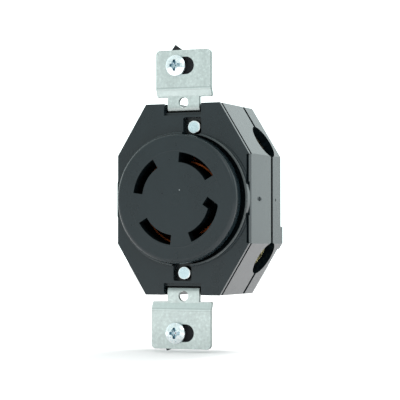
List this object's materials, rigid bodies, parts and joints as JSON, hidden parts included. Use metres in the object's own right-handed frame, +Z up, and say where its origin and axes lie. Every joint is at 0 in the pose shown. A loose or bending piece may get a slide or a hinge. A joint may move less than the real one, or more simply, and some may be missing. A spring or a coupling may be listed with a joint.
{
  "type": "flush locking receptacle",
  "caption": "Octagonal flush-mounting locking receptacle with a round face boss and curved blade slots, on a steel strap with slotted ears, captive screws and clamp terminals",
  "frame": {"origin": "midway between the two plate-screw holes, on the front surface of the strap's necks", "axes": "front faces -Y, +Y runs into the wall, +Z is up along the strap, +X is right as seen from the front"},
  "size_m": [0.0446, 0.0363, 0.0957],
  "materials": {
    "face_cover": "dark charcoal moulded nylon, very fine satin texture",
    "main_housing": "dark charcoal moulded nylon, satin",
    "rear_cover": "dark charcoal moulded nylon, satin",
    "mounting_strap": "galvanised sheet steel, dull",
    "contact_hot_x": "bare copper alloy",
    "contact_hot_y": "bare copper alloy",
    "contact_neutral": "bare copper alloy",
    "contact_ground": "bare copper alloy",
    "ground_link": "bare brass strip",
    "clamp_plate_hot_x": "bright brass",
    "clamp_plate_hot_y": "bright brass",
    "clamp_plate_neutral": "nickel-plated brass",
    "clamp_plate_ground": "bright brass",
    "terminal_screw_hot_x": "bright brass",
    "terminal_screw_hot_y": "bright brass",
    "terminal_screw_neutral": "nickel-plated",
    "terminal_screw_ground": "bright brass",
    "assembly_rivets": "bright zinc plate",
    "mounting_screw_upper": "bright zinc plate, slightly blue",
    "mounting_screw_lower": "bright zinc plate, slightly blue",
    "retaining_washer_upper": "black fibre sheet",
    "retaining_washer_lower": "black fibre sheet"
  },
  "bodies": {
    "receptacle": {"face_cover": "face_cover", "main_housing": "main_housing", "rear_cover": "rear_cover", "mounting_strap": "mounting_strap", "contact_hot_x": "contact_hot_x", "contact_hot_y": "contact_hot_y", "contact_neutral": "contact_neutral", "contact_ground": "contact_ground", "ground_link": "ground_link", "assembly_rivets": "assembly_rivets"},
    "clamp_hot_x": {"clamp_plate_hot_x": "clamp_plate_hot_x"},
    "screw_hot_x": {"terminal_screw_hot_x": "terminal_screw_hot_x"},
    "clamp_hot_y": {"clamp_plate_hot_y": "clamp_plate_hot_y"},
    "screw_hot_y": {"terminal_screw_hot_y": "terminal_screw_hot_y"},
    "clamp_neutral": {"clamp_plate_neutral": "clamp_plate_neutral"},
    "screw_neutral": {"terminal_screw_neutral": "terminal_screw_neutral"},
    "clamp_ground": {"clamp_plate_ground": "clamp_plate_ground"},
    "screw_ground": {"terminal_screw_ground": "terminal_screw_ground"},
    "washer_upper": {"retaining_washer_upper": "retaining_washer_upper"},
    "mount_screw_upper": {"mounting_screw_upper": "mounting_screw_upper"},
    "washer_lower": {"retaining_washer_lower": "retaining_washer_lower"},
    "mount_screw_lower": {"mounting_screw_lower": "mounting_screw_lower"}
  },
  "joints": [
    {"name": "clamp_slide_hot_x", "type": "slide", "parent": "receptacle", "child": "clamp_hot_x", "axis": [0.8532, 0, 0.5216], "range_m": [0, 0.0033]},
    {"name": "screw_turn_hot_x", "type": "hinge", "parent": "clamp_hot_x", "child": "screw_hot_x", "pos_m": [-0.01687, 0.0192, -0.01694], "axis": [0.8532, 0, 0.5216], "range_deg": [0, 1500]},
    {"name": "clamp_slide_hot_y", "type": "slide", "parent": "receptacle", "child": "clamp_hot_y", "axis": [-0.8532, 0, -0.5216], "range_m": [0, 0.0033]},
    {"name": "screw_turn_hot_y", "type": "hinge", "parent": "clamp_hot_y", "child": "screw_hot_y", "pos_m": [0.01687, 0.0192, 0.01694], "axis": [-0.8532, 0, -0.5216], "range_deg": [0, 1500]},
    {"name": "clamp_slide_neutral", "type": "slide", "parent": "receptacle", "child": "clamp_neutral", "axis": [0.8532, 0, -0.5216], "range_m": [0, 0.0033]},
    {"name": "screw_turn_neutral", "type": "hinge", "parent": "clamp_neutral", "child": "screw_neutral", "pos_m": [-0.01687, 0.0192, 0.01694], "axis": [0.8532, 0, -0.5216], "range_deg": [0, 1500]},
    {"name": "clamp_slide_ground", "type": "slide", "parent": "receptacle", "child": "clamp_ground", "axis": [-0.8532, 0, 0.5216], "range_m": [0, 0.0033]},
    {"name": "screw_turn_ground", "type": "hinge", "parent": "clamp_ground", "child": "screw_ground", "pos_m": [0.01687, 0.0192, -0.01694], "axis": [-0.8532, 0, 0.5216], "range_deg": [0, 1500]},
    {"name": "mount_slide_upper", "type": "slide", "parent": "receptacle", "child": "washer_upper", "axis": [1, 0, 0], "range_m": [-0.0001, 0.0039]},
    {"name": "mount_turn_upper", "type": "hinge", "parent": "washer_upper", "child": "mount_screw_upper", "pos_m": [-0.0019, 0, 0.04167], "axis": [0, 1, 0], "continuous": true},
    {"name": "mount_slide_lower", "type": "slide", "parent": "receptacle", "child": "washer_lower", "axis": [1, 0, 0], "range_m": [-0.0001, 0.0039]},
    {"name": "mount_turn_lower", "type": "hinge", "parent": "washer_lower", "child": "mount_screw_lower", "pos_m": [-0.0019, 0, -0.04167], "axis": [0, 1, 0], "continuous": true}
  ],
  "couplings": [
    {"joint": "screw_turn_hot_x", "follows": "clamp_slide_hot_x", "rad_per_m": 7915.8},
    {"joint": "screw_turn_hot_y", "follows": "clamp_slide_hot_y", "rad_per_m": 7915.8},
    {"joint": "screw_turn_neutral", "follows": "clamp_slide_neutral", "rad_per_m": 7915.8},
    {"joint": "screw_turn_ground", "follows": "clamp_slide_ground", "rad_per_m": 7915.8}
  ]
}
